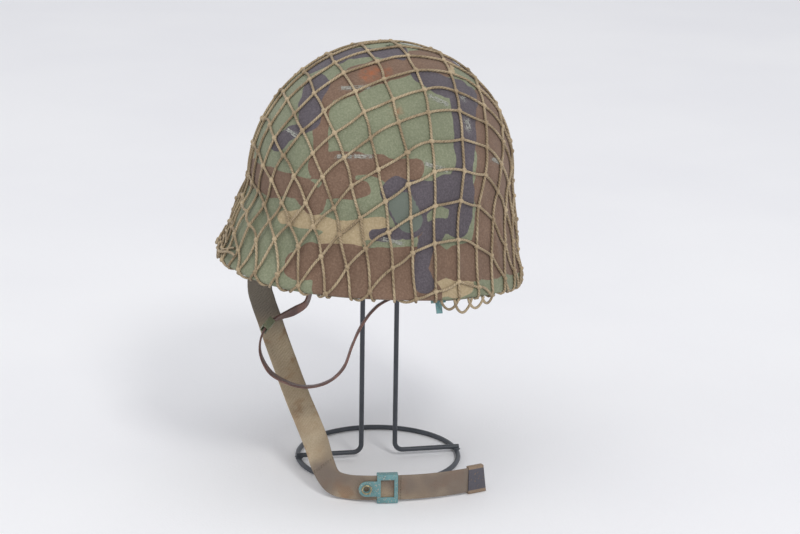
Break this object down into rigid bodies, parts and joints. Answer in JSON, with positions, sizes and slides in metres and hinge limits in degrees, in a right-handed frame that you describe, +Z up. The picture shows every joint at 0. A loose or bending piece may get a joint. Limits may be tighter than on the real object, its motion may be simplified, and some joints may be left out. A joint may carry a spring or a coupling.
{
  "type": "combat helmet on a wire stand",
  "caption": "Steel combat helmet with liner, camouflage cloth cover, knotted string net, hanging web chin strap and leather strap, resting on a bent wire display stand",
  "frame": {"origin": "on the floor, under the middle of the whole part's box", "axes": "+Z up, the helmet's front at -Y, its wearer's left at +X"},
  "size_m": [0.2455, 0.2854, 0.3592],
  "materials": {
    "painted_steel": "dull sanded paint",
    "moulded_liner": "matt paint on moulded fibre",
    "camouflage_cloth": "faded printed cotton twill",
    "string": "twisted cotton string",
    "webbing": "worn cotton webbing",
    "leather": "worn brown leather",
    "teal_paint": "worn teal paint",
    "green_paint": "worn green paint",
    "brass": "tarnished",
    "tip_metal": "dark worn paint",
    "bail_metal": "dull dark paint",
    "stand_wire": "satin black"
  },
  "bodies": {
    "root": {"steel_shell": "painted_steel", "liner": "moulded_liner", "cover": "camouflage_cloth", "net": "string", "web_strap_right": "webbing", "web_strap_left": "webbing", "bail_right": "bail_metal", "bail_left": "bail_metal", "bail_lug_right": "bail_metal", "bail_lug_left": "bail_metal", "slider_buckle": "teal_paint", "strap_hook_left": "teal_paint", "slider_ring": "brass", "strap_tip": "tip_metal", "leather_strap": "leather", "strap_buckle": "green_paint", "strap_stud_right": "bail_metal", "strap_stud_left": "bail_metal", "stand": "stand_wire"}
  },
  "joints": []
}
